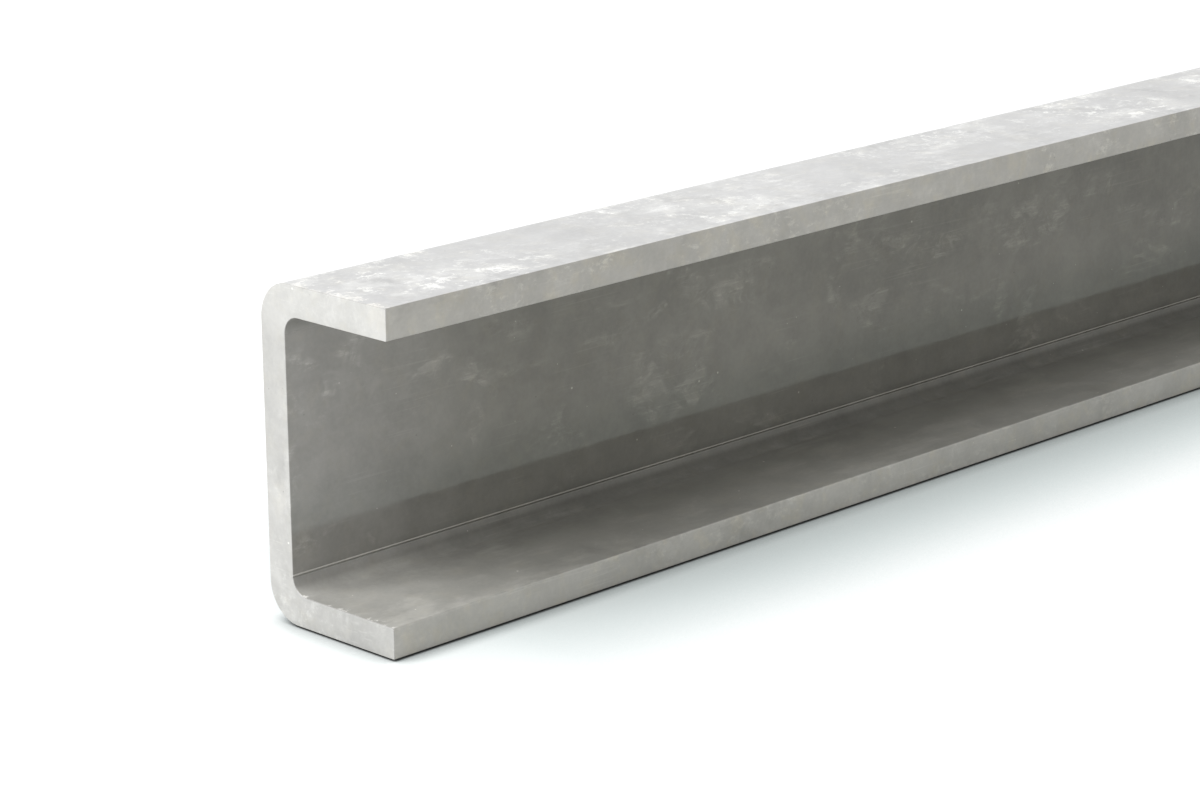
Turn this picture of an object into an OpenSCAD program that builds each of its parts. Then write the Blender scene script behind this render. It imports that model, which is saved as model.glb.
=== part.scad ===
/*
  Plain steel U-channel: one rolled strip with a tall web and two equal flanges.
  The bar lies along X and stands on its lower flange, with its open side towards +Y.
  Origin: middle of the length, middle of the depth, underside of the lower flange.
*/

/* [Bar] */
// Length of the bar, saw cut square at both ends
length = 1000; // [100:50:6000]

/* [Section] */
// Height over the two flanges
height = 65; // [40:1:120]
// Depth of a flange, from the back of the web to its lip
flange = 34; // [20:1:60]
// Thickness of the web
web = 6.5; // [5:0.5:9]
// Thickness of each flange
wall = 6; // [5:0.5:8]
// Radius of the rounded heels on the outside of the two bends
heel = 7.5; // [2:0.5:8.5]
// Radius of the fillets on the inside of the two bends
fillet = 3.5; // [3:0.5:6]
// Radius that breaks the two edges of each lip
lip_edge = 0.3; // [0.1:0.1:1]

/* [Forming line] */
// Height of the ridge that the rolls leave where the web meets the lower fillet
ridge_height = 0.15; // [0.05:0.05:0.25]
// Depth of the groove that runs beside the ridge, inside the fillet
groove_depth = 0.1; // [0.05:0.05:0.25]
// Width of the ridge, and of the groove
mark_width = 0.6; // [0.5:0.1:1]

/* [Hidden] */
$fn = 96;

// Sides of the rectangle that holds a bend, from the outside corner to the ends of the fillet
bend_depth = web + fillet;
bend_height = wall + fillet;

// Radius of the arc that is as wide as a forming mark and rises by the given amount
function mark_radius(rise) = (pow(mark_width / 2, 2) + pow(rise, 2)) / (2 * rise);

// Angle round the fillet from the middle of the ridge to the middle of the groove
groove_angle = mark_width / fillet * 180 / PI;

// Bend with its rounded heel at the origin and its fillet on the far corner
module bend_outline() {
    difference() {
        intersection() {
            square([bend_depth, bend_height]);
            union() {
                translate([heel, heel])
                    circle(r = heel);
                translate([heel, 0])
                    square([bend_depth, bend_height]);
                translate([0, heel])
                    square([bend_depth, bend_height]);
            }
        }
        translate([bend_depth, bend_height])
            circle(r = fillet);
    }
}

// Flat of a flange from the bend to the lip, with the two edges of the lip rounded
module flange_outline() {
    flat = flange - bend_depth;
    square([flat - lip_edge, wall]);
    translate([0, lip_edge])
        square([flat, wall - 2 * lip_edge]);
    for (edge = [lip_edge, wall - lip_edge])
        translate([flat - lip_edge, edge])
            circle(r = lip_edge);
}

// Lower half of the section: half the web, the bend and the flange
module half_outline() {
    bend_outline();
    translate([0, bend_height])
        square([web, height / 2 - bend_height]);
    translate([bend_depth, 0])
        flange_outline();
}

// Round mark on the lower fillet: depth is how far the middle of its arc lies under the surface
module forming_mark(angle, depth, radius) {
    translate([bend_depth, bend_height])
        rotate(angle)
            translate([-fillet - depth, 0])
                circle(r = radius);
}

// Whole section: the back of the web on x = 0 and the lower flange on y = 0
module channel_outline() {
    ridge_radius = mark_radius(ridge_height);
    groove_radius = mark_radius(groove_depth);
    difference() {
        union() {
            half_outline();
            translate([0, height])
                mirror([0, 1])
                    half_outline();
            forming_mark(0, ridge_radius - ridge_height, ridge_radius);
        }
        forming_mark(groove_angle, groove_depth - groove_radius, groove_radius);
    }
}

module u_channel() {
    color([0.72, 0.72, 0.7])
        translate([-length / 2, -flange / 2, 0])
            rotate([90, 0, 90])
                linear_extrude(height = length)
                    channel_outline();
}

u_channel();
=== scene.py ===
import math

import bpy
from mathutils import Matrix, Vector


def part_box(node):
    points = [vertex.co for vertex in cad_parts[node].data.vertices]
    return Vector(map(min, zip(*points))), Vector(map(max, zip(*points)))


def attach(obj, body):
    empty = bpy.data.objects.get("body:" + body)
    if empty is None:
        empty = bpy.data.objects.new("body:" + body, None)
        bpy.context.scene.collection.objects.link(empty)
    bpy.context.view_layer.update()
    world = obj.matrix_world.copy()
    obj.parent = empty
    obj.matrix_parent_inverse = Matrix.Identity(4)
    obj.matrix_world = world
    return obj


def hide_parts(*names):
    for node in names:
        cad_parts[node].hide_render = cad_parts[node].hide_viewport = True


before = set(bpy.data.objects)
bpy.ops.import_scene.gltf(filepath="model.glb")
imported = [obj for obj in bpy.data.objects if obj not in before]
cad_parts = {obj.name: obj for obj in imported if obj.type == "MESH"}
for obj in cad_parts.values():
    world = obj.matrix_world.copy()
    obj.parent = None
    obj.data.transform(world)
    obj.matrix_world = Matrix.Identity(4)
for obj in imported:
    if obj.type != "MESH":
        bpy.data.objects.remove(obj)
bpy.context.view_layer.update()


# The bar is one strip of steel, bent over rollers into a U along its whole length and sawn square
# at both ends. It has rounded heels outside, small fillets inside, plain lips, and on the lower fillet
# the fine ridge and groove that the edge of a roller leaves where the web begins.

low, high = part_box("u_channel")
bar_length, bar_depth, bar_height = (b - a for a, b in zip(low, high))
web_thickness = 0.0065
flange_thickness = 0.006
heel_radius = 0.0075
fillet_radius = 0.0035
lip_edge_radius = 0.0003
ridge_height = 0.0001
groove_depth = 0.00006
mark_width = 0.0004
end_break = 0.00008


def node(tree, kind, feeds=(), **settings):
    """One node, with its inputs linked to sockets or set to plain values."""
    made = tree.nodes.new(kind)
    for name, value in settings.items():
        setattr(made, name, value)
    for key, value in dict(feeds).items():
        if isinstance(value, bpy.types.NodeSocket):
            tree.links.new(value, made.inputs[key])
        else:
            made.inputs[key].default_value = value
    return made


def reckon(tree, operation, *values):
    """One step of arithmetic between sockets and plain numbers."""
    return node(tree, "ShaderNodeMath", enumerate(values), operation=operation).outputs[0]


sweep = bpy.data.node_groups.new("channel_sweep", "GeometryNodeTree")
bar_sizes = {
    "Length": bar_length,
    "Depth": bar_depth,
    "Height": bar_height,
    "Web": web_thickness,
    "Flange": flange_thickness,
    "Heel": heel_radius,
    "Fillet": fillet_radius,
    "Lip edge": lip_edge_radius,
    "Ridge": ridge_height,
    "Groove": groove_depth,
    "Mark": mark_width,
    "End break": end_break,
}
size_ids = {
    name: sweep.interface.new_socket(name=name, in_out="INPUT", socket_type="NodeSocketFloat").identifier
    for name in bar_sizes
}
steel_socket = sweep.interface.new_socket(
    name="Steel", in_out="INPUT", socket_type="NodeSocketMaterial")
steel_id = steel_socket.identifier
sweep.interface.new_socket(name="Bar", in_out="OUTPUT", socket_type="NodeSocketGeometry")
given = sweep.nodes.new("NodeGroupInput").outputs

# Corners of the outline, counterclockwise, with depth across and height up
fine_arc = 96
broad_arc = 48
edge_arc = 24
back = reckon(sweep, "MULTIPLY", given["Depth"], -0.5)
lip = reckon(sweep, "MULTIPLY", given["Depth"], 0.5)
inner = reckon(sweep, "ADD", back, given["Web"])
upper = reckon(sweep, "SUBTRACT", given["Height"], given["Flange"])
bend_end = reckon(sweep, "ADD", given["Flange"], given["Fillet"])
web_start = reckon(sweep, "ADD", bend_end, given["Mark"])
corners = (
    (back, 0.0, given["Heel"], broad_arc),
    (lip, 0.0, given["Lip edge"], edge_arc),
    (lip, given["Flange"], given["Lip edge"], edge_arc),
    (inner, given["Flange"], given["Fillet"], fine_arc),
    (inner, web_start, 0.0, 1),
    (inner, upper, given["Fillet"], fine_arc),
    (lip, upper, given["Lip edge"], edge_arc),
    (lip, given["Height"], given["Lip edge"], edge_arc),
    (back, given["Height"], given["Heel"], broad_arc),
)
index = node(sweep, "GeometryNodeInputIndex").outputs[0]
place = node(sweep, "GeometryNodeIndexSwitch", data_type="VECTOR")
radius = node(sweep, "GeometryNodeIndexSwitch", data_type="FLOAT")
steps = node(sweep, "GeometryNodeIndexSwitch", data_type="INT")
for switch in (place, radius, steps):
    for _ in corners[2:]:
        switch.index_switch_items.new()
    sweep.links.new(index, switch.inputs[0])
for number, (across, up, rounding, arc) in enumerate(corners, start=1):
    steps.inputs[number].default_value = arc
    corner = node(sweep, "ShaderNodeCombineXYZ", {"X": across, "Y": up})
    sweep.links.new(corner.outputs[0], place.inputs[number])
    if isinstance(rounding, bpy.types.NodeSocket):
        sweep.links.new(rounding, radius.inputs[number])
points = node(sweep, "GeometryNodePoints", {"Count": len(corners), "Position": place.outputs[0]})
sharp = node(sweep, "GeometryNodePointsToCurves", {"Points": points.outputs[0]})
closed = node(sweep, "GeometryNodeSetSplineCyclic", {"Geometry": sharp.outputs[0], "Cyclic": True})
rounded = node(
    sweep, "GeometryNodeFilletCurve",
    {"Curve": closed.outputs[0], "Count": steps.outputs[0], "Radius": radius.outputs[0]}, mode="POLY")

# The forming marks on the lower fillet
def gap_to(point_a, point_b):
    """Distance between two points."""
    gap = node(sweep, "ShaderNodeVectorMath", {0: point_a, 1: point_b}, operation="DISTANCE")
    return gap.outputs["Value"]


fillet_across = reckon(sweep, "ADD", inner, given["Fillet"])
fillet_middle = node(sweep, "ShaderNodeCombineXYZ", {"X": fillet_across, "Y": bend_end}).outputs[0]
ridge_middle = node(sweep, "ShaderNodeCombineXYZ", {"X": inner, "Y": bend_end}).outputs[0]
groove_turn = reckon(sweep, "DIVIDE", given["Mark"], given["Fillet"])
groove_in = reckon(sweep, "MULTIPLY", given["Fillet"], reckon(sweep, "COSINE", groove_turn))
groove_down = reckon(sweep, "MULTIPLY", given["Fillet"], reckon(sweep, "SINE", groove_turn))
groove_middle = node(sweep, "ShaderNodeCombineXYZ", {
    "X": reckon(sweep, "SUBTRACT", fillet_across, groove_in),
    "Y": reckon(sweep, "SUBTRACT", bend_end, groove_down),
}).outputs[0]
on_outline = node(sweep, "GeometryNodeInputPosition").outputs[0]
ridge_cuts = 9
one_step = reckon(sweep, "DIVIDE", given["Fillet"], float(fine_arc))
fillet_end = reckon(sweep, "LESS_THAN", gap_to(on_outline, ridge_middle), one_step)
finer = node(sweep, "GeometryNodeSubdivideCurve", {
    "Curve": rounded.outputs[0], "Cuts": reckon(sweep, "MULTIPLY", fillet_end, ridge_cuts)})


def swell(middle, amount):
    """Height of a round-backed mark at each point of the outline."""
    share = reckon(sweep, "DIVIDE", gap_to(on_outline, middle), reckon(sweep, "MULTIPLY", given["Mark"], 0.5))
    rest = reckon(sweep, "SUBTRACT", 1.0, reckon(sweep, "POWER", share, 2.0))
    return reckon(sweep, "MULTIPLY", reckon(sweep, "MAXIMUM", rest, 0.0), amount)


rise = reckon(
    sweep, "SUBTRACT", swell(ridge_middle, given["Ridge"]), swell(groove_middle, given["Groove"]))
to_middle = node(
    sweep, "ShaderNodeVectorMath", {0: fillet_middle, 1: on_outline}, operation="SUBTRACT").outputs[0]
inward = node(sweep, "ShaderNodeVectorMath", {0: to_middle}, operation="NORMALIZE").outputs[0]
shift = node(sweep, "ShaderNodeVectorMath", {0: inward, "Scale": rise}, operation="SCALE").outputs[0]
marked = node(sweep, "GeometryNodeSetPosition", {"Geometry": finer.outputs[0], "Offset": shift})

# The outline keeps its own place and its outward direction, for the ends
outline = node(sweep, "GeometryNodeCaptureAttribute", {"Geometry": marked.outputs[0]})
for name in ("section", "tangent"):
    outline.capture_items.new("VECTOR", name)
sweep.links.new(node(sweep, "GeometryNodeInputPosition").outputs[0], outline.inputs["section"])
sweep.links.new(node(sweep, "GeometryNodeInputTangent").outputs[0], outline.inputs["tangent"])

# The path runs along the bar in even slices, with one more slice close to each end for its broken edge
slices = 40
half = reckon(sweep, "MULTIPLY", given["Length"], 0.5)
line = node(sweep, "GeometryNodeCurvePrimitiveLine", {
    "Start": node(sweep, "ShaderNodeCombineXYZ", {"X": reckon(sweep, "MULTIPLY", half, -1.0)}).outputs[0],
    "End": node(sweep, "ShaderNodeCombineXYZ", {"X": half}).outputs[0],
})
path = node(sweep, "GeometryNodeResampleCurve", {"Curve": line.outputs[0], "Count": slices + 1}).outputs[0]
slice_shift = reckon(
    sweep, "SUBTRACT", given["End break"], reckon(sweep, "DIVIDE", given["Length"], float(slices)))
for number, side in ((1, 1.0), (slices - 1, -1.0)):
    here = reckon(sweep, "COMPARE", index, float(number), 0.5)
    move = node(sweep, "ShaderNodeCombineXYZ", {"X": reckon(sweep, "MULTIPLY", slice_shift, side)}).outputs[0]
    path = node(
        sweep, "GeometryNodeSetPosition",
        {"Geometry": path, "Selection": here, "Offset": move}).outputs[0]
route = node(sweep, "GeometryNodeCaptureAttribute", {"Geometry": path})
route.capture_items.new("VECTOR", "along")
sweep.links.new(node(sweep, "GeometryNodeInputPosition").outputs[0], route.inputs["along"])
drawn = node(sweep, "GeometryNodeCurveToMesh", {
    "Curve": route.outputs["Geometry"], "Profile Curve": outline.outputs["Geometry"], "Fill Caps": True})

# Each point of the skin goes to its place in the bar, drawn in a little at the two ends
along = node(sweep, "ShaderNodeSeparateXYZ", {0: route.outputs["along"]}).outputs["X"]
section = node(sweep, "ShaderNodeSeparateXYZ", {0: outline.outputs["section"]}).outputs
turn = node(sweep, "ShaderNodeSeparateXYZ", {0: outline.outputs["tangent"]}).outputs
from_middle = reckon(sweep, "ABSOLUTE", along)
half_break = reckon(sweep, "MULTIPLY", given["End break"], 0.5)
at_end = reckon(sweep, "COMPARE", from_middle, half, half_break)
pull = reckon(sweep, "MULTIPLY", at_end, given["End break"])
skin_place = node(sweep, "ShaderNodeCombineXYZ", {
    "X": along,
    "Y": reckon(sweep, "SUBTRACT", section["X"], reckon(sweep, "MULTIPLY", turn["Y"], pull)),
    "Z": reckon(sweep, "ADD", section["Y"], reckon(sweep, "MULTIPLY", turn["X"], pull)),
})
skin = node(
    sweep, "GeometryNodeSetPosition", {"Geometry": drawn.outputs[0], "Position": skin_place.outputs[0]})

# Faces are labelled as sawn end, slit lip or inside, for the finish
face_normal = node(sweep, "GeometryNodeInputNormal").outputs[0]
face_turn = node(sweep, "ShaderNodeSeparateXYZ", {0: face_normal}).outputs["X"]
face_middle = node(sweep, "GeometryNodeInputPosition").outputs[0]
face_place = node(sweep, "ShaderNodeSeparateXYZ", {0: face_middle}).outputs
half_height = reckon(sweep, "MULTIPLY", given["Height"], 0.5)
off_middle = reckon(sweep, "ABSOLUTE", reckon(sweep, "SUBTRACT", face_place["Z"], half_height))
half_gap = reckon(sweep, "SUBTRACT", half_height, given["Flange"])
gap_edge = reckon(sweep, "ADD", half_gap, given["End break"])
between = reckon(sweep, "LESS_THAN", off_middle, gap_edge)
forward = reckon(sweep, "GREATER_THAN", face_place["Y"], reckon(sweep, "SUBTRACT", inner, given["Mark"]))
on_lip = reckon(sweep, "GREATER_THAN", face_place["Y"], reckon(sweep, "SUBTRACT", lip, given["Lip edge"]))
squarely = 0.5
sawn = reckon(sweep, "GREATER_THAN", reckon(sweep, "ABSOLUTE", face_turn), squarely)
drawn_skin = reckon(sweep, "SUBTRACT", 1.0, sawn)
hollow = reckon(sweep, "MULTIPLY", reckon(sweep, "MULTIPLY", between, forward), drawn_skin)
labelled = skin
for name, value in (("sawn_end", sawn), ("slit_lip", on_lip), ("inside", hollow)):
    labelled = node(
        sweep, "GeometryNodeStoreNamedAttribute",
        {"Geometry": labelled.outputs[0], "Name": name, "Value": value}, data_type="FLOAT", domain="FACE")
whole = node(sweep, "GeometryNodeRealizeInstances", {"Geometry": labelled.outputs[0]})
finished = node(sweep, "GeometryNodeSetMaterial", {"Geometry": whole.outputs[0], "Material": given["Steel"]})
sweep.links.new(finished.outputs[0], sweep.nodes.new("NodeGroupOutput").inputs["Bar"])

# The finish is dull bare steel. The outside is rubbed pale and smeared with white bloom, the lips are slit
# edges with warm chips, the inside is painted darker as painted shade and lighter near the ends as painted
# light, dust lies on the lower flange, and the sawn ends are clean, with painted shade at the foot and a
# painted highlight near the top.
outside_colour = (0.53, 0.53, 0.528)
bloom_colour = (0.8, 0.8, 0.78)
chip_colour = (0.61, 0.597, 0.545)
lip_colour = (0.468, 0.457, 0.424)
# Painted shade: the inside of the channel has a darker colour, and painted light makes it lighter near the
# open ends
inside_shade_colour = (0.222, 0.217, 0.191)
lit_end_colour = (0.343, 0.336, 0.316)
dust_colour = (0.445, 0.44, 0.41)
sawn_colour = (0.595, 0.59, 0.57)
edge_colour = (0.69, 0.68, 0.655)
warm_patch = (1.08, 1.05, 0.97)
outside_rough = 0.36
inside_rough = 0.04
bend_rough = 0.5
dust_rough = 0.6
metal_share = 0.25
mirror_share = 0.22
relief_strength = 0.25
relief_depth = 0.00006
near_end_length = 0.06
upper_shade_start = 0.08
upper_shade_full = 0.2
upper_shade_foot = 0.026
upper_shade_head = 0.038
band_light_top = 0.022
band_light_full = 0.012
band_light_share = 0.16
dust_at_web = 0.5
dust_at_lip = 0.75
front_start = 0.004
front_full = 0.015
crest_reach = 0.0002
crest_core = 0.00006
chip_fringe = 0.0003
few_chips = 0.008
all_chips = 0.03
rubbed_width = 0.0024

steel = bpy.data.materials.new("mill_finish_steel")
steel.use_nodes = True
steel_tree = steel.node_tree
steel_shader = steel_tree.nodes["Principled BSDF"]
on_bar = node(steel_tree, "ShaderNodeTexCoord").outputs["Object"]
bar_place = node(steel_tree, "ShaderNodeSeparateXYZ", {0: on_bar}).outputs


def stretched(sizes, degrees=(0, 0, 0)):
    """The bar's own coordinates, turned, with one unit for the size of a mark along each axis."""
    return node(steel_tree, "ShaderNodeMapping", {
        "Vector": on_bar,
        "Rotation": [math.radians(angle) for angle in degrees],
        "Scale": [1 / size for size in sizes],
    }).outputs[0]


def clouds(size, detail, turned=(0, 0, 0), roughness=0.55, distortion=0.0):
    """Soft noise in patches of one size, or of a size along each axis of the bar, turned."""
    even = not isinstance(size, tuple)
    return node(steel_tree, "ShaderNodeTexNoise", {
        "Vector": on_bar if even else stretched(size, turned),
        "Scale": 1 / size if even else 1.0,
        "Detail": detail,
        "Roughness": roughness,
        "Distortion": distortion,
    }).outputs["Fac"]


def ramp(tree, value, start, stop, low=0.0, high=1.0, way="LINEAR"):
    """A way from one level to another, between two bounds of a value."""
    return node(tree, "ShaderNodeMapRange", {
        "Value": value, "From Min": start, "From Max": stop, "To Min": low, "To Max": high,
    }, interpolation_type=way).outputs[0]


def fade(value, start, stop, low=0.0, high=1.0):
    """A soft step on the steel from one level to another."""
    return ramp(steel_tree, value, start, stop, low, high, "SMOOTHSTEP")


def level(mask, off, on):
    """One level where a mask is nought, another where it is one."""
    return fade(mask, start=0.0, stop=1.0, low=off, high=on)


def patches(start, stop, low=0.0, high=1.0, **noise):
    """Noise that is made into patches by a soft step."""
    return fade(clouds(**noise), start, stop, low, high)


def times(*values):
    """The product of several values."""
    product = values[0]
    for value in values[1:]:
        product = reckon(steel_tree, "MULTIPLY", product, value)
    return product


def plus(*values):
    """The sum of several values."""
    total = values[0]
    for value in values[1:]:
        total = reckon(steel_tree, "ADD", total, value)
    return total


def minus(value, taken):
    """One value less another."""
    return reckon(steel_tree, "SUBTRACT", value, taken)


def smaller(value_a, value_b):
    """The smaller of two values."""
    return reckon(steel_tree, "MINIMUM", value_a, value_b)


def larger(value_a, value_b):
    """The larger of two values."""
    return reckon(steel_tree, "MAXIMUM", value_a, value_b)


def dots(size, radius, kept):
    """Small round dots, one to a cell of that size, of which only a share is kept."""
    cells = node(steel_tree, "ShaderNodeTexVoronoi", {"Vector": on_bar, "Scale": 1 / size})
    lot = node(steel_tree, "ShaderNodeSeparateColor", {0: cells.outputs["Color"]}).outputs[0]
    inside_dot = fade(cells.outputs["Distance"], radius / size, 0.5 * radius / size)
    return times(inside_dot, reckon(steel_tree, "LESS_THAN", lot, kept))


def label(name):
    """One of the labels that the sweep puts on the faces."""
    return node(steel_tree, "ShaderNodeAttribute", attribute_name=name).outputs["Fac"]


def tinted(share, colour_a, colour_b, way="MIX"):
    """One colour laid over another."""
    mix = node(steel_tree, "ShaderNodeMix", {0: share}, data_type="RGBA", blend_type=way)
    for socket, colour in ((mix.inputs[6], colour_a), (mix.inputs[7], colour_b)):
        if isinstance(colour, tuple):
            socket.default_value = (*colour, 1.0)
        else:
            steel_tree.links.new(colour, socket)
    return mix.outputs[2]


inside = label("inside")
slit_lip = label("slit_lip")
sawn_end = label("sawn_end")
off_inside = minus(1.0, inside)
off_end = minus(1.0, sawn_end)

# Where on the bar: the ends, dust low down and a band low on the web painted lighter, the bends, the forming
# line, painted shade high on the web away from the ends, and the foot, the head and the edges of the saw cut
facing = node(steel_tree, "ShaderNodeNewGeometry").outputs["Normal"]
facing_along, _, facing_up = node(steel_tree, "ShaderNodeSeparateXYZ", {0: facing}).outputs
upper_side = fade(facing_up, start=0.8, stop=0.97)
end_gap = minus(bar_length / 2, reckon(steel_tree, "ABSOLUTE", bar_place["X"]))
near_end = fade(end_gap, near_end_length, 0.0)
folded_up = smaller(bar_place["Z"], minus(bar_height, bar_place["Z"]))
web_inside = web_thickness - bar_depth / 2
bend_height = flange_thickness + fillet_radius
past_fillet = larger(minus(bar_place["Y"], web_inside + fillet_radius), minus(folded_up, bend_height))
in_bend = times(inside, fade(past_fillet, 0.5 * fillet_radius, -0.7 * fillet_radius))
lower_half = reckon(steel_tree, "LESS_THAN", bar_place["Z"], bar_height / 2)
dust_cover = fade(bar_place["Y"], web_inside, bar_depth / 2, dust_at_web, dust_at_lip)
dusty = times(inside, lower_half, fade(facing_up, start=0.3, stop=1.0), dust_cover)
# Near the web the dust is rougher, and the lower flange there is painted darker as painted shade
corner_dust_and_shade = times(
    dusty, fade(bar_place["Y"], web_inside + 4 * fillet_radius, web_inside + fillet_radius))
front_dust = times(dusty, fade(bar_place["Y"], front_start, front_full))
# Painted light: a band low on the inside is drawn lighter, towards the dust colour
low_band_light = times(inside, lower_half, fade(bar_place["Z"], band_light_top, band_light_full))
from_ridge = reckon(
    steel_tree, "SQRT",
    plus(
        reckon(steel_tree, "POWER", minus(bar_place["Y"], web_inside), 2.0),
        reckon(steel_tree, "POWER", minus(bar_place["Z"], bend_height), 2.0)))
# Painted highlight along the crest of the forming ridge
crest_highlight = times(inside, fade(from_ridge, crest_reach, crest_core))
# Painted shade: the upper part of the web, under the upper flange, is darker away from the ends
upper_web_shade = times(
    inside, fade(end_gap, upper_shade_start, upper_shade_full), fade(bar_place["Z"], upper_shade_foot, upper_shade_head))
# Painted shade: the sawn end is darker towards its foot
foot_shade = times(sawn_end, fade(bar_place["Z"], 2 * flange_thickness, 0.0))
end_foot = fade(bar_place["Z"], 3 * flange_thickness, 2 * flange_thickness)
# Painted shade on the broken edge of the saw cut, which dulls its glint
end_edge_shade = times(sawn_end, fade(reckon(steel_tree, "ABSOLUTE", facing_along), start=0.95, stop=0.8))
# Painted highlight: the sawn end is lighter near its top
end_head_highlight = times(sawn_end, fade(bar_place["Z"], bar_height - 2 * flange_thickness, bar_height))

# Edges: where a flange ends at the saw cut, its upper side is chipped bright in an uneven width, and the
# front edge of the top is rubbed pale in places
chip_width = patches(
    size=0.004, detail=8.0, roughness=0.75, start=0.45, stop=0.64, low=-0.0005, high=0.0028)
worn_edge = times(off_end, fade(minus(end_gap, chip_width), chip_fringe, -chip_fringe), upper_side)
rubbed_places = patches(size=(0.018, 0.005, 0.005), detail=5.0, roughness=0.7, start=0.52, stop=0.62)
rubbed_strip = fade(bar_place["Y"], bar_depth / 2 - rubbed_width, bar_depth / 2 - lip_edge_radius)
rubbed_edge = times(rubbed_places, off_inside, off_end, upper_side, rubbed_strip)

# Marks: wide blotches, clouds and grain, then white bloom, chips, scuffs, patches of dust, smudges,
# scratches, specks and pits
blotches = patches(size=0.045, detail=2.0, start=0.3, stop=0.7, low=-1.0)
mottling = patches(size=0.008, detail=6.0, roughness=0.65, start=0.3, stop=0.7, low=-1.0)
grain = patches(size=0.0009, detail=2.0, start=0.2, stop=0.8, low=-1.0)
bloom_places = patches(size=0.033, detail=4.0, distortion=0.4, start=0.44, stop=0.6, low=0.1)
bloom_haze = patches(size=0.01, detail=8.0, roughness=0.7, start=0.44, stop=0.62)
bloom_flecks = patches(size=0.0065, detail=10.0, roughness=0.8, distortion=0.3, start=0.54, stop=0.6)
bloom_grains = patches(size=0.002, detail=6.0, roughness=0.75, start=0.56, stop=0.61)
bloom_marks = larger(times(bloom_haze, 0.4), larger(bloom_flecks, times(bloom_grains, 0.7)))
bloom_on_end = minus(1.0, times(sawn_end, level(end_foot, off=0.7, on=0.45)))
bloom_spread = times(
    bloom_places, bloom_marks, off_inside, bloom_on_end, level(slit_lip, off=1.0, on=0.1))
bloom = larger(bloom_spread, times(rubbed_edge, 0.7))
chip_places = patches(size=0.014, detail=3.0, start=0.44, stop=0.58)
chip_flakes = patches(
    size=(0.004, 0.0024, 0.0024), detail=9.0, roughness=0.8, distortion=0.35, start=0.51, stop=0.63)
kept_clear = fade(larger(dusty, in_bend), start=0.0, stop=0.5, low=1.0, high=0.1)
chips = times(
    chip_places, chip_flakes, kept_clear, fade(end_gap, few_chips, all_chips, low=0.2),
    level(slit_lip, off=0.6, on=1.0), level(inside, off=1.0, on=0.3), level(lower_half, off=1.0, on=0.55))
scuff_places = patches(size=(0.024, 0.018, 0.013), detail=3.0, distortion=0.8, start=0.53, stop=0.65)
scuff_haze = patches(
    size=(0.007, 0.0045, 0.0045), detail=8.0, roughness=0.72, distortion=0.8, start=0.44, stop=0.62)
brush_strokes = patches(
    size=(0.007, 0.004, 0.0006), turned=(0, 14, 0), detail=4.0, roughness=0.65, distortion=0.6,
    start=0.48, stop=0.6)
curl_noise = clouds(size=(0.014, 0.009, 0.009), detail=4.0, roughness=0.6, distortion=2.2)
curls = fade(reckon(steel_tree, "ABSOLUTE", minus(curl_noise, 0.5)), start=0.02, stop=0.0)
scuff_marks = plus(times(scuff_haze, 0.5), times(scuff_haze, brush_strokes, 0.5), times(curls, 0.15))
scuffs = times(scuff_places, scuff_marks, kept_clear, level(inside, off=0.4, on=1.0))
dust_places = patches(
    size=(0.016, 0.009, 0.009), detail=6.0, roughness=0.68, distortion=0.4, start=0.5, stop=0.66)
dust_patches = times(dusty, dust_places)
smudge_places = patches(size=0.014, detail=4.0, roughness=0.6, distortion=0.4, start=0.55, stop=0.7)
smudges = times(smudge_places, level(inside, off=1.0, on=0.4))
steep_lines = patches(size=(0.03, 0.004, 0.0005), turned=(0, 33, 20), detail=2.0, start=0.6, stop=0.7)
cross_lines = patches(size=(0.022, 0.004, 0.0005), turned=(0, -62, -25), detail=2.0, start=0.61, stop=0.7)
scratched_places = patches(size=0.02, detail=2.0, start=0.48, stop=0.62)
scratches = times(plus(steep_lines, cross_lines), scratched_places)
specks = plus(dots(size=0.006, radius=0.0003, kept=0.35), dots(size=0.0028, radius=0.00016, kept=0.25))
pits = dots(size=0.0045, radius=0.00022, kept=0.3)

# Tone: how much each mark lightens or darkens the skin
tone_marks = (
    (blotches, 0.05),
    (mottling, 0.07),
    (grain, 0.03),
    (times(chips, minus(1.0, slit_lip)), 0.3),
    (scuffs, 0.42),
    (smudges, -0.12),
    (scratches, 0.1),
    (specks, 0.4),
    (times(specks, inside), 0.5),
    (dust_patches, 0.22),
    (pits, -0.25),
    # painted highlight on the forming ridge
    (crest_highlight, 0.8),
    # painted shade in the bends, weaker near the open ends
    (times(in_bend, level(near_end, off=1.0, on=0.3)), -0.36),
    # painted light on the upward-facing part of the lower bend
    (times(in_bend, fade(facing_up, start=0.4, stop=0.8)), 0.26),
    # painted shade in the corner of the lower flange by the web
    (corner_dust_and_shade, -0.25),
    # painted shade high on the web under the upper flange
    (upper_web_shade, -0.1),
    # painted light on the lower lip
    (times(slit_lip, lower_half), 0.07),
    # painted shade on the upward-facing rounded edges of the lips, which mutes their highlight
    (times(slit_lip, fade(facing_up, start=0.2, stop=0.8)), -0.28),
    # painted shade at the foot of the sawn end
    (foot_shade, -0.12),
    # painted highlight near the top of the sawn end
    (end_head_highlight, 0.06),
    # painted light on the dust near the open ends
    (times(near_end, dusty), 0.14),
    (front_dust, -0.12),
    # painted shade on the broken edge of the saw cut
    (end_edge_shade, -0.3),
)
tone = plus(1.0, *(times(mark, share) for mark, share in tone_marks))

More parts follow.
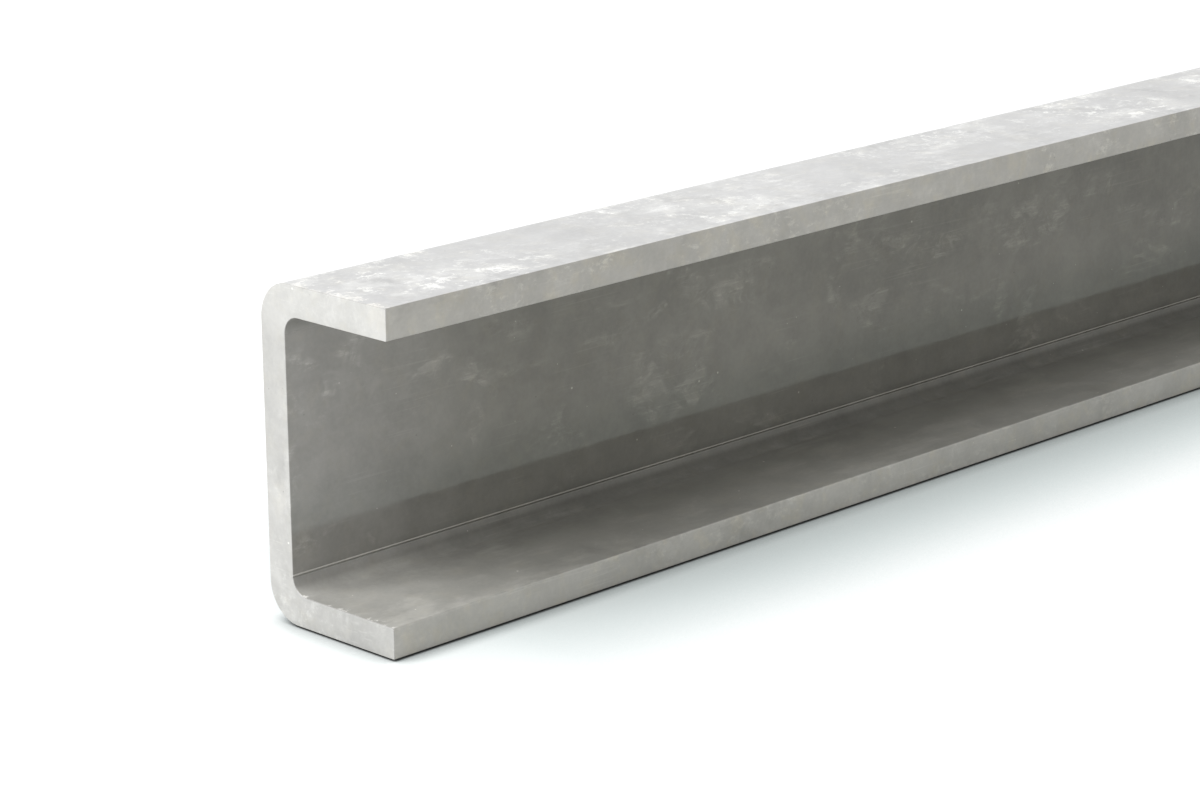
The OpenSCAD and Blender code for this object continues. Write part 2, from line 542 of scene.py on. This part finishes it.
# Colour: each kind of surface has its own, with warm patches, times the tone
# Painted shade inside the channel, painted light near the open ends, then the dust and the painted light of
# the low band
inside_shade_light_and_dust = tinted(near_end, inside_shade_colour, lit_end_colour)
inside_shade_light_and_dust = tinted(larger(dusty, times(low_band_light, band_light_share)), inside_shade_light_and_dust, dust_colour)
skin_colour = tinted(inside, outside_colour, inside_shade_light_and_dust)
lip_skin = tinted(chips, lip_colour, chip_colour)
skin_colour = tinted(slit_lip, skin_colour, lip_skin)
skin_colour = tinted(sawn_end, skin_colour, sawn_colour)
skin_colour = tinted(worn_edge, skin_colour, edge_colour)
skin_colour = tinted(bloom, skin_colour, bloom_colour)
warm_places = patches(size=0.0055, detail=6.0, roughness=0.7, distortion=0.3, start=0.47, stop=0.68)
warmth = times(warm_places, level(slit_lip, off=0.3, on=0.7))
skin_colour = tinted(warmth, skin_colour, warm_patch, "MULTIPLY")
toned = node(steel_tree, "ShaderNodeVectorMath", {0: skin_colour, "Scale": tone}, operation="SCALE")
steel_tree.links.new(toned.outputs[0], steel_shader.inputs["Base Color"])

# Gloss: the inside is smoother but for its bends and the dust, and the bloom is chalky
rough_marks = (
    (in_bend, bend_rough),
    (dusty, dust_rough),
    (corner_dust_and_shade, dust_rough),
    (mottling, 0.03),
    (bloom, 0.25),
    (scuffs, 0.08),
    (times(near_end, inside), 0.05),
)
skin_rough = level(inside, off=outside_rough, on=inside_rough)
roughness = plus(skin_rough, *(times(mark, share) for mark, share in rough_marks))
steel_tree.links.new(roughness, steel_shader.inputs["Roughness"])
steel_shader.inputs["Metallic"].default_value = metal_share
steel_shader.inputs["Specular IOR Level"].default_value = mirror_share

# Relief: some marks stand up or lie in by about a hundredth of a millimetre
relief_marks = (
    (mottling, 0.5),
    (grain, 0.25),
    (scratches, -0.35),
    (pits, -0.8),
)
skin_relief = plus(*(times(mark, share) for mark, share in relief_marks))
skin_height = times(skin_relief, level(inside, off=1.0, on=0.25))
relief = node(
    steel_tree, "ShaderNodeBump",
    {"Strength": relief_strength, "Distance": relief_depth, "Height": skin_height})
steel_tree.links.new(relief.outputs[0], steel_shader.inputs["Normal"])

# The sweep is run once, and its faces are smooth on the bends and flat elsewhere
flat_degrees = 0.2
crease_degrees = 30
maker = bpy.data.objects.new("bar_maker", bpy.data.meshes.new("bar_maker"))
bpy.context.scene.collection.objects.link(maker)
sweeper = maker.modifiers.new("sweep", "NODES")
sweeper.node_group = sweep
for name, value in bar_sizes.items():
    sweeper[size_ids[name]] = value
sweeper[steel_id] = steel
bar_mesh = bpy.data.meshes.new_from_object(maker.evaluated_get(bpy.context.evaluated_depsgraph_get()))
maker.modifiers.remove(sweeper)
bpy.data.objects.remove(maker)
bar_mesh.name = "channel_bar"
flat_limit = math.cos(math.radians(flat_degrees))
round_faces = [max(abs(part) for part in face.normal) < flat_limit for face in bar_mesh.polygons]
bar_mesh.polygons.foreach_set("use_smooth", round_faces)
bar_mesh.set_sharp_from_angle(angle=math.radians(crease_degrees))
bar = bpy.data.objects.new("channel_bar", bar_mesh)
bpy.context.scene.collection.objects.link(bar)
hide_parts("u_channel")
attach(bar, "root")


# The floor is a wide sheet of white paper. The bar rests on its high spots, so a hair of air shows
# under it. To the eye and in reflections the paper is lifted to white, less so in the painted shade around
# the bar, and close to the bar the paper's own colour is darkened as painted shade.

floor_size = 40.0
air_gap = 0.00045
paper_colour = (0.595, 0.605, 0.603)
paper_lift = 0.42
contact_reach = 0.078
contact_samples = 5
contact_depth = 2.35
tight_share = 0.3
tight_level = 0.05
roomy_share = 0.75
near_reach = 0.0045
near_samples = 4
near_level = 0.6
half_open = 0.5
shade_start = 0.43
shade_none = 0.51
open_white = (1.0, 1.0, 1.0, 1.0)
shadow_tint = (0.5, 1.0, 0.98, 1.0)
plain_shade = 0.18
tinted_shade = 0.32
floor_mesh = bpy.data.meshes.new("paper_floor")
edge = floor_size / 2
floor_mesh.from_pydata(
    [(-edge, -edge, -air_gap), (edge, -edge, -air_gap), (edge, edge, -air_gap), (-edge, edge, -air_gap)],
    [], [(0, 1, 2, 3)])
floor = bpy.data.objects.new("paper_floor", floor_mesh)
bpy.context.scene.collection.objects.link(floor)
paper = bpy.data.materials.new("white_paper")
paper.use_nodes = True
paper.cycles.emission_sampling = "NONE"
paper_tree = paper.node_tree
paper_tree.nodes.remove(paper_tree.nodes["Principled BSDF"])


def seen_directly(tree):
    """One for what the eye, a reflection or a clear body sees, nought for light that spreads."""
    ray = node(tree, "ShaderNodeLightPath").outputs
    straight = reckon(tree, "MAXIMUM", ray["Is Camera Ray"], ray["Is Glossy Ray"])
    return reckon(tree, "MAXIMUM", straight, ray["Is Transmission Ray"])


def open_air(reach, samples):
    """How open the floor is to the air within that reach."""
    air = node(paper_tree, "ShaderNodeAmbientOcclusion", {"Distance": reach}, samples=samples)
    return air.outputs["AO"]


# The lift is less in the painted shade around the bar, which follows how open the floor is. Along the bar
# this painted shade fades out towards the sawn end, where only the tight spots stay dark.
open_share = open_air(contact_reach, contact_samples)
on_paper = node(paper_tree, "ShaderNodeTexCoord").outputs["Object"]
paper_along = node(paper_tree, "ShaderNodeSeparateXYZ", {0: on_paper}).outputs["X"]
off_the_end = ramp(paper_tree, paper_along, shade_start, shade_none, way="SMOOTHSTEP")
roomy = ramp(paper_tree, open_share, tight_share, roomy_share)
lit_anew = reckon(paper_tree, "MULTIPLY", off_the_end, roomy)
shaded = reckon(paper_tree, "POWER", open_share, contact_depth)
clear_share = reckon(paper_tree, "MAXIMUM", shaded, lit_anew)
lift_here = reckon(paper_tree, "MULTIPLY", clear_share, paper_lift)
lift_seen = reckon(paper_tree, "MULTIPLY", seen_directly(paper_tree), lift_here)

# The shade has a cool tint, but for its darkest part
close_by = ramp(paper_tree, clear_share, tinted_shade, plain_shade)
untinted = reckon(paper_tree, "MAXIMUM", clear_share, close_by)
lift_colour = node(
    paper_tree, "ShaderNodeMix", {0: untinted, 6: shadow_tint, 7: open_white}, data_type="RGBA")
lift = node(paper_tree, "ShaderNodeEmission", {"Color": lift_colour.outputs[2], "Strength": lift_seen})

# Painted shade: the paper itself is darker close to the bar, and darkest in the gap under it
near_open = open_air(near_reach, near_samples)
paper_share = ramp(paper_tree, open_share, 0.0, tight_share, low=tight_level)
near_share = ramp(paper_tree, near_open, half_open, 1.0, low=near_level)
paper_level = reckon(paper_tree, "MULTIPLY", paper_share, near_share)
paper_here = node(
    paper_tree, "ShaderNodeVectorMath", {0: paper_colour, "Scale": paper_level}, operation="SCALE")
matt = node(paper_tree, "ShaderNodeBsdfDiffuse", {"Color": paper_here.outputs[0]})
both = node(paper_tree, "ShaderNodeAddShader", {0: matt.outputs[0], 1: lift.outputs[0]})
paper_tree.links.new(both.outputs[0], paper_tree.nodes["Material Output"].inputs["Surface"])
floor_mesh.materials.append(paper)


# The light is one large soft box high above the sawn end, in a room whose ceiling is paler than its
# walls. To the eye and in reflections the room is white, as the floor is.

key_place = (2.2, -0.4, 2.3)
key_aim = (0.4, 0.0, 0.03)
key_size = 2.0
key_power = 85.0
wall_light = 0.25
ceiling_light = 0.8
white_light = 1.0
key_lamp = bpy.data.lights.new("key_box", "AREA")
key_lamp.shape = "SQUARE"
key_lamp.size = key_size
key_lamp.energy = key_power
key_box = bpy.data.objects.new("key_box", key_lamp)
key_box.location = key_place
key_box.rotation_euler = (Vector(key_place) - Vector(key_aim)).to_track_quat("Z", "Y").to_euler()
bpy.context.scene.collection.objects.link(key_box)
room = bpy.data.worlds.new("pale_room")
room.use_nodes = True
room.cycles.sampling_method = "NONE"
room_tree = room.node_tree
direction = node(room_tree, "ShaderNodeTexCoord").outputs["Generated"]
upward = node(room_tree, "ShaderNodeSeparateXYZ", {0: direction}).outputs["Z"]
spread = ramp(room_tree, upward, 0.0, 1.0, wall_light, ceiling_light)
room_level = node(room_tree, "ShaderNodeMix", {
    "Factor": seen_directly(room_tree), "A": spread, "B": white_light})
room_tree.links.new(room_level.outputs[0], room_tree.nodes["Background"].inputs["Strength"])
room_tree.nodes["Background"].inputs["Color"].default_value = open_white
bpy.context.scene.world = room
bpy.context.scene.view_settings.view_transform = "Standard"


# The camera stands in front of the open side, off the near end and a little above the bar. It looks
# slightly down along the bar through a long lens.

camera_place = (0.89834, 0.46697, 0.22054)
half_turn = 180
yaw_degrees = 45.068
heading = math.radians(half_turn - yaw_degrees)
downward = math.radians(16.033)
roll = math.radians(0.521)
frame_pixels = 1200
focal_pixels = 3557.5
sensor_width = 36.0
nearest_seen = 0.01
lens = bpy.data.cameras.new("camera")
lens.sensor_width = sensor_width
lens.lens = focal_pixels * sensor_width / frame_pixels
lens.clip_start = nearest_seen
camera = bpy.data.objects.new("camera", lens)
camera.matrix_world = (
    Matrix.Translation(camera_place)
    @ Matrix.Rotation(heading, 4, "Z")
    @ Matrix.Rotation(math.pi / 2 - downward, 4, "X")
    @ Matrix.Rotation(-roll, 4, "Z"))
bpy.context.scene.collection.objects.link(camera)
bpy.context.scene.camera = camera
